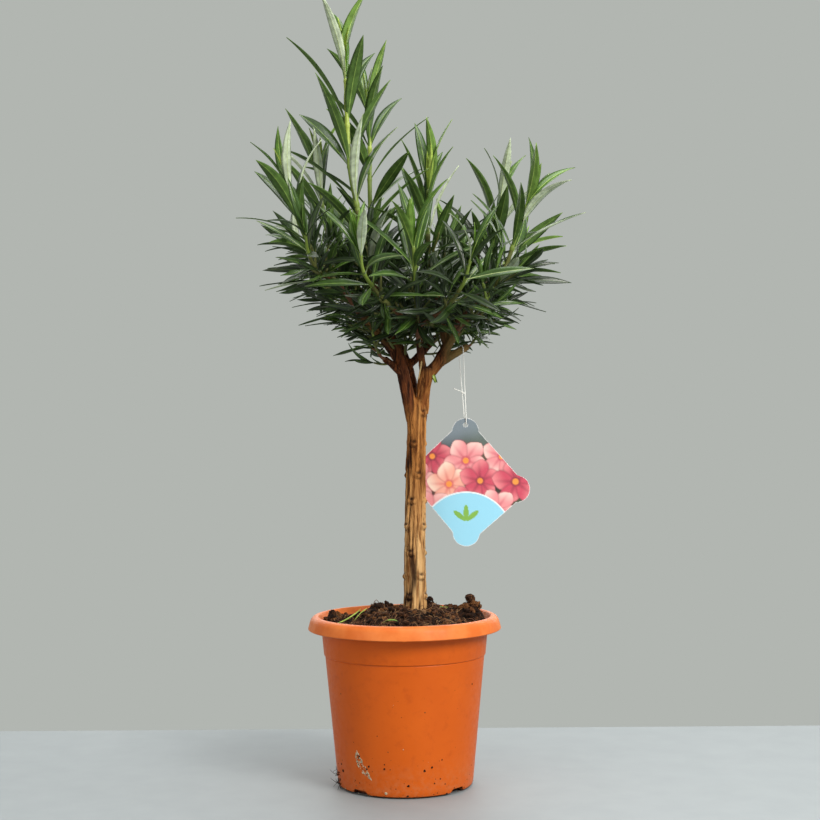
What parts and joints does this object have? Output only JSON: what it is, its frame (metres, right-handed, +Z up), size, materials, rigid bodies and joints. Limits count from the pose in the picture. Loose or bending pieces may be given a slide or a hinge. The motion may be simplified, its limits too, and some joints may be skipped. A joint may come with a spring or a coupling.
{
  "type": "potted oleander",
  "caption": "Potted oleander standard: tapered plastic pot with soil, bare trunk forking into short boughs, whorled narrow leaves and a hanging plain picture tag.",
  "frame": {"origin": "centre of the pot's flat underside", "axes": "+Z up along the plant, -Y towards the front that the picture shows, +X to the right of that view"},
  "size_m": [0.3362, 0.3317, 0.7754],
  "materials": {
    "pot_plastic": "terracotta-coloured moulded plastic, satin, lightly soiled near the foot",
    "potting_soil": "dark brown fibrous peat",
    "bark": "tan to brown furrowed bark",
    "young_bark": "reddish brown young bark",
    "leaves": "leathery dark green, pale midribs, glossy above and grey-green below",
    "tag_card": null,
    "tag_string": "white elastic thread"
  },
  "bodies": {
    "root": {"pot": "pot_plastic", "soil": "potting_soil", "trunk": "bark", "bough_left": "young_bark", "bough_right": "young_bark", "bough_back": "young_bark", "bough_left_outer": "young_bark", "bough_left_rear": "young_bark", "bough_low_left": "young_bark", "bough_centre": "young_bark", "bough_inner": "young_bark", "bough_side": "young_bark", "bough_right_front": "young_bark", "bough_back_right": "young_bark", "foliage_tall": "leaves", "foliage_centre": "leaves", "foliage_right": "leaves", "foliage_left": "leaves", "foliage_left_rear": "leaves", "foliage_front": "leaves", "foliage_right_low": "leaves", "foliage_low_left": "leaves", "foliage_side": "leaves", "foliage_back_left": "leaves", "foliage_back_right": "leaves", "tag_card": "tag_card", "tag_string": "tag_string"}
  },
  "joints": []
}
